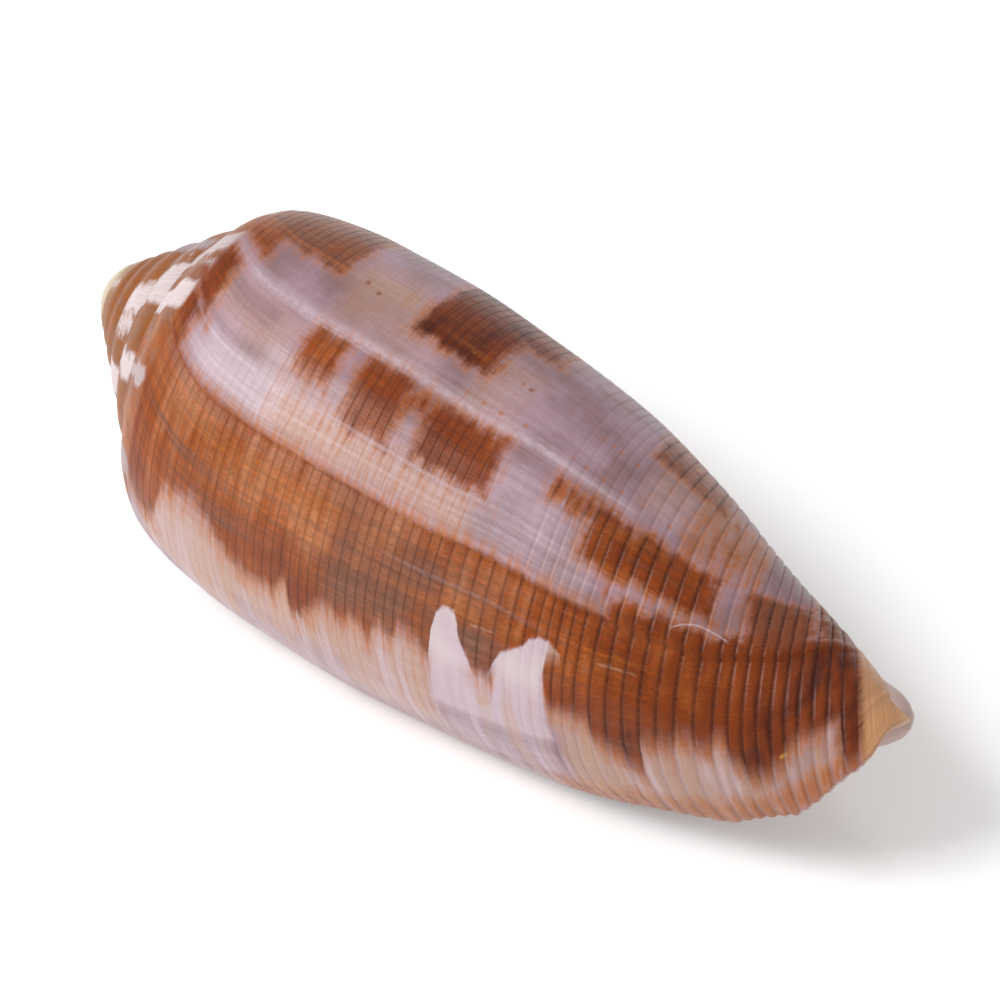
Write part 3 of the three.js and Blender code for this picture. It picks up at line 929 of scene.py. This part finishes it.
def ground_colour(n, f):
    """Lilac, greyer and whiter in places, with painted highlight and painted shade among them, cream and
    streaked below the band.
    """
    ground = n.mix(n.step(f.clouds, 0.3, 0.75), LILAC, LILAC_GREY)
    ground = n.mix(n.plus(f.cream, n.swing(f.clouds, 0.5), clamp=True), ground, CREAM)
    # Painted highlight whitens the ground and painted shade greys it, along with its own paler and
    # greyer places.
    tone_and_painted_light = n.plus(f.light, n.linear(f.rings, 0.45, -0.22))
    ground = n.mix(n.step(tone_and_painted_light, 0.1, 1.1, 0, 0.85), ground, NEAR_WHITE)
    ground = n.mix(n.step(tone_and_painted_light, -0.1, -1, 0, 0.8), ground, LILAC_GREY)
    tan_streaks = n.times(n.step(f.fine_streaks, 0.5, 0.72), n.linear(f.cream, 0.35, 0.1))
    ground = n.mix(tan_streaks, ground, TAN)
    broad_streaks = n.noise(f.along, 1.1, f.round_it, 0.1, 31)
    low_zone = n.step(f.age, -60, -40)
    ground = n.mix(n.times(low_zone, n.step(broad_streaks, 0.48, 0.66, 0, 0.4)), ground, CREAM)
    ground = n.mix(n.times(low_zone, n.step(broad_streaks, 0.5, 0.34, 0, 0.5)), ground, NEAR_WHITE)
    # A tan stain lies just outside the browns.
    stain = n.step(f.ragged, n.step(f.age, -95, -70, -1, -1.9), 0.1)
    stain = n.times(stain, n.step(f.fine_streaks, 0.3, 0.7, 0.2, 0.85))
    return n.mix(stain, ground, TAN)


def brown_colour(n, f):
    """Browns of three depths, streaked, and greyer in places."""
    streaked = n.plus(f.dark, n.swing(f.streaks, 0.7))
    depth = n.plus(streaked, n.linear(f.rings, 0.35, -0.18), n.swing(f.clouds, 0.8))
    browns = n.mix(n.step(depth, 0, 0.36), SALMON_BROWN, RED_BROWN)
    browns = n.mix(n.step(depth, 0.3, 0.62), browns, MID_BROWN)
    browns = n.mix(n.step(depth, 0.62, 1.05), browns, DARK_BROWN)
    greyer = n.plus(f.grey, n.step(f.slow_rings, 0.5, 0.75, -0.1, 0.5))
    browns = n.mix(n.times(greyer, n.step(f.clouds, 0.2, 0.6), clamp=True), browns, GREY_BROWN)
    return n.mix(n.step(f.slow_rings, 0.46, 0.3, 0, 0.35), browns, TAN)


def with_teeth(n, f, colour):
    chip = n.step(n.linear(f.grain, 0.4, f.chips), 0.12, 0.34, 0, 0.55)
    white = n.mix(n.step(f.clouds, 0.35, 0.6), TOOTH, NEAR_WHITE)
    creamy = n.step(f.along, TOOTH_CREAM_FROM, TOOTH_CREAM_FROM + 0.5, 0, 0.8)
    colour = n.mix(chip, colour, CREAM)
    return n.mix(n.times(f.tooth, 0.92), colour, n.mix(creamy, white, CREAM))


def with_dots(n, f, colour):
    for dot_along, dot_age in DOTS + [SPECK]:
        off_along = n.minus(f.along, dot_along)
        off_round = n.times(n.minus(f.age, dot_age), AGE_TO_MM)
        off = n.plus(n.times(off_along, off_along), n.times(off_round, off_round))
        dot_colour = YELLOW if (dot_along, dot_age) == SPECK else MID_BROWN
        colour = n.mix(n.step(n.math("SQRT", off), *DOT_EDGE, 0, 0.6), colour, dot_colour)
    for dot_age in DOT_ROWS:
        on_row = n.times(n.step(n.apart(f.lined, dot_age), 1.2, 0.3), n.step(f.from_groove, 0.3, 0.1))
        seen = n.times(n.step(f.streaks, 0.46, 0.6), n.step(f.along, 24, 28, 0, 0.6))
        colour = n.mix(n.times(on_row, seen), colour, TAN)
    return colour


def with_grooves(n, f, colour):
    """Grooves are dark in the browns, tan in the lilac and white over the pale zone by the lip."""
    pale_zone = n.times(n.step(f.age, -48, -36), n.step(f.along, 30, 36), n.minus(1, f.cover))
    groove_colour = n.mix(pale_zone, n.mix(f.cover, TAN, GROOVE_BROWN), NEAR_WHITE)
    patchy = n.linear(f.cover, 0.62, n.step(f.clouds, 0.35, 0.7, 0, 0.2))
    patchy = n.linear(n.times(f.cream, 0.5, clamp=True), 0.9, patchy, clamp=True)
    strength = n.times(
        f.in_groove, n.step(f.along, 10.2, 42, 0.36, 0.95), n.linear(f.bead, 0.55, 0.45), patchy,
        n.step(f.where, 0.2, 1.2), f.not_tooth, n.step(f.along, *RIBS_END),
    )
    return n.mix(strength, colour, groove_colour)


def with_growth_lines(n, f, colour):
    lines = n.times(
        n.step(f.rings, 0.36, 0.66, 0.8, 1.15), n.step(f.striae, 0.3, 0.7, 0.94, 1.05),
        n.step(f.beads, 0.34, 0.66, 0.88, 1.14),
    )
    share = n.times(
        n.step(f.where, -0.5, 1, 0.4, 0.9), n.linear(f.tooth, -0.8, 1),
        n.step(f.ragged, -0.5, 0.3, 0.35, 1), n.step(f.age, -60, -42, 1, 0.3),
        n.step(f.along, 40, 48, 1, 0.45),
    )
    return n.mix(share, colour, n.scale(colour, lines))


def with_painted_rib_shading(n, f, colour):
    """Painted shade of the round ribs: they are brighter along their middle than beside the grooves."""
    rib_shading = n.step(f.from_groove, 0.02, 0.4, 0.62, 1.14)
    share = n.times(
        n.step(f.along, 28, 44, 0.25, 1), n.step(f.along, *RIBS_END), n.step(f.where, 0.2, 1.2),
        f.not_tooth, f.bead, n.linear(f.cover, 0.85, 0.15),
    )
    return n.mix(share, colour, n.scale(colour, rib_shading))


def with_pale_lines_and_highlight(n, f, colour):
    # The first line is partly a painted beaded highlight.
    for middle, half, amount, start in PALE_LINES_AND_HIGHLIGHT:
        share = n.times(
            n.step(n.apart(f.lined, middle), half, half * 0.2),
            n.step(f.grain, 0.38, 0.6, 0.2 * amount, amount), n.step(f.where, 1, 3),
            n.step(f.along, 39, 33), n.step(f.along, start, start + 4),
        )
        colour = n.mix(share, colour, NEAR_WHITE)
    return colour


def with_arc(n, f, colour):
    arc_along, arc_age, arc_half, arc_bend = ARC
    off = n.times(n.minus(f.along, arc_along), 1 / arc_half)
    on_arc = n.linear(n.times(off, off), arc_bend, arc_age)
    on_arc = n.step(n.apart(f.age, on_arc), 0.6, 0.15)
    share = n.times(on_arc, n.step(n.math("ABSOLUTE", off), 1.1, 0.85), 0.5)
    return n.mix(share, colour, NEAR_WHITE)


def with_fasciole(n, f, colour):
    """Cream beyond the last rib, with a painted highlight along the anterior end's edge."""
    share = n.step(n.plus(f.along, n.swing(f.grain, 0.6)), *FASCIOLE_FROM)
    fasciole = n.mix(n.step(f.rings, 0.4, 0.7), FASCIOLE, CREAM)
    # A painted highlight towards the anterior end's edge.
    fasciole = n.mix(n.step(f.along, 56, 57.4, 0, 0.6), fasciole, FASCIOLE_EDGE_HIGHLIGHT)
    return n.mix(share, colour, fasciole)


def spire_colour(n, f, browns):
    """Brown with leaning pale flames, and an all pale tip."""
    leaned = n.linear(f.where, FLAME_LEAN, f.age)
    grain = n.noise(f.where, 0.8, leaned, 0.14, 12)
    pale = n.mix(f.light, LILAC_GREY, SPIRE_WHITE)
    browns = n.mix(n.step(f.age, -260, -420, 0.15, 0.7), browns, SPIRE_BROWN)
    browns = n.mix(n.step(grain, 0.42, 0.66, 0, 0.6), browns, SPIRE_GREY)
    colour = n.mix(n.step(n.plus(f.brown, n.swing(grain, 0.8)), -0.2, 0.2), pale, browns)
    lines = n.noise(f.where, 0.15, leaned, 0.8, 14, detail=3)
    colour = n.scale(colour, n.step(lines, 0.3, 0.7, 0.9, 1.08))
    return n.mix(n.step(f.age, *TIP_FROM), colour, APEX_CREAM)


def fine_relief(n, f):
    """Relief too fine for the mesh: striae along the growth lines and threads along the spiral."""
    ridges = n.linear(f.striae, 0.35, n.times(f.beads, 0.4))
    cut = n.times(f.in_groove, n.linear(f.cover, -0.3, -0.06))
    threads = n.linear(f.fine_streaks, 0.2, cut)
    height = n.times(
        n.plus(ridges, threads), n.minus(1, f.inside), n.linear(f.spire, -0.85, 1),
        n.linear(f.tooth, -0.7, 1),
    )
    inputs = {"Strength": 0.5, "Distance": FINE_RELIEF, "Height": height}
    return n.add("ShaderNodeBump", inputs, out="Normal")


LAYERS = (
    with_teeth, with_dots, with_grooves, with_growth_lines, with_painted_rib_shading, with_pale_lines_and_highlight,
    with_arc, with_fasciole,
)


def shell_material():
    material = bpy.data.materials.new("shell_surface")
    material.use_nodes = True
    tree = material.node_tree
    tree.nodes.clear()
    n = Nodes(tree)
    f = shell_fields(n)
    add_cover(n, f)
    add_teeth(n, f)
    browns = brown_colour(n, f)
    colour = n.mix(f.cover, ground_colour(n, f), browns)
    for layer in LAYERS:
        colour = layer(n, f, colour)
    colour = n.mix(f.spire, colour, spire_colour(n, f, browns))
    colour = n.scale(n.mix(f.inside, colour, INSIDE), SHADE)
    roughness = n.linear(f.in_groove, 0.12, n.linear(f.grain, 0.18, 0.28))
    shader = tree.nodes.new("ShaderNodeBsdfPrincipled")
    for name, value in {
        "Base Color": colour,
        "Roughness": roughness,
        "Normal": fine_relief(n, f),
        "IOR": 1.52,
        "Specular IOR Level": 0.22,
        "Coat Weight": 0.06,
        "Coat Roughness": 0.25,
        "Subsurface Weight": 0.06,
        "Subsurface Scale": 0.0004,
        "Subsurface Radius": (1.0, 0.6, 0.45),
    }.items():
        n.put(shader.inputs[name], value)
    output = tree.nodes.new("ShaderNodeOutputMaterial")
    tree.links.new(shader.outputs[0], output.inputs[0])
    return material


shell.data.materials.append(shell_material())

# Camera, placed from the shell's own frame as the photograph shows it.
VIEW_AZIMUTH = 36.7075
VIEW_ELEVATION = 36.7233
VIEW_PITCH = 8.058  # the shell's own dip in that frame
VIEW_DISTANCE = 275.7
VIEW_TARGET = (25.455, -0.210, -2.374)
FOCAL_LENGTH = 199.29
SENSOR_WIDTH = 36.0
CLIP = (0.01, 10.0)


def make_camera():
    azimuth, elevation = math.radians(VIEW_AZIMUTH), math.radians(VIEW_ELEVATION)
    right = Vector((math.cos(azimuth), math.sin(azimuth), 0))
    back = Vector((
        math.sin(azimuth) * math.cos(elevation), -math.cos(azimuth) * math.cos(elevation),
        math.sin(elevation),
    ))
    up = back.cross(right)
    to_world = Matrix(rest.tolist()) @ Matrix.Rotation(-math.radians(VIEW_PITCH), 3, "Y")
    spot = to_world @ (Vector(VIEW_TARGET) + VIEW_DISTANCE * back) + Vector(shift.tolist())
    turned = Matrix((to_world @ right, to_world @ up, to_world @ back)).transposed()
    data = bpy.data.cameras.new("camera")
    data.lens = FOCAL_LENGTH
    data.sensor_width = SENSOR_WIDTH
    data.clip_start, data.clip_end = CLIP
    camera = bpy.data.objects.new("camera", data)
    camera.matrix_world = Matrix.Translation(spot * MM) @ turned.to_4x4()
    bpy.context.scene.collection.objects.link(camera)
    bpy.context.scene.camera = camera
    return camera


camera = make_camera()


# Light: soft boxes, each placed so that its reflection falls on a named place of the shell.
# Its name, that place's along and age, the box's distance and size in metres, and its power.
SOFT_BOXES = [
    ("key_light", (17, -99), 0.6, (0.3, 0.3), 3.1),
    ("front_light", (31, -42), 0.8, (0.9, 0.7), 8.6),
    ("ridge_light", (34, -122), 0.7, (0.16, 0.16), 0.3),
]
WORLD_COLOUR = (1.0, 0.99, 0.985, 1)
WORLD_STRENGTH = 0.5


def soft_box(name, lit_place, distance, size, power):
    steps = np.array([-0.5, 0, 0.5])
    grid_along, grid_age = np.meshgrid(lit_place[0] + steps, lit_place[1] + steps * 4)
    points = place(grid_along, body_radius(grid_along), grid_age) @ rest.T + shift
    spot, outward = Vector(points[1, 1] * MM), Vector(normals_of(points)[1, 1])
    view = (camera.location - spot).normalized()
    mirrored = 2 * outward.dot(view) * outward - view
    data = bpy.data.lights.new(name, "AREA")
    data.shape = "RECTANGLE"
    data.size, data.size_y = size
    data.energy = power
    light = bpy.data.objects.new(name, data)
    light.location = spot + mirrored.normalized() * distance
    light.rotation_mode = "QUATERNION"
    light.rotation_quaternion = mirrored.to_track_quat("Z", "Y")
    bpy.context.scene.collection.objects.link(light)


for box in SOFT_BOXES:
    soft_box(*box)

world = bpy.data.worlds.new("studio")
world.use_nodes = True
background = world.node_tree.nodes["Background"]
background.inputs["Color"].default_value = WORLD_COLOUR
background.inputs["Strength"].default_value = WORLD_STRENGTH
bpy.context.scene.world = world
bpy.context.scene.view_settings.view_transform = "Standard"

# Floor: a white surface that glows a little, in metres.
FLOOR_HALF = 1.5
FLOOR_LOOK = {
    "Base Color": (0.95, 0.95, 0.952, 1),
    "Roughness": 0.6,
    "Emission Color": (1, 1, 1, 1),
    "Emission Strength": 0.17,
}


def make_floor():
    half = FLOOR_HALF
    mesh = bpy.data.meshes.new("floor")
    corners = [(-half, -half, 0), (half, -half, 0), (half, half, 0), (-half, half, 0)]
    mesh.from_pydata(corners, [], [(0, 1, 2, 3)])
    floor = bpy.data.objects.new("floor", mesh)
    bpy.context.scene.collection.objects.link(floor)
    material = bpy.data.materials.new("floor_surface")
    material.use_nodes = True
    shader = material.node_tree.nodes["Principled BSDF"]
    for name, value in FLOOR_LOOK.items():
        shader.inputs[name].default_value = value
    mesh.materials.append(material)


make_floor()
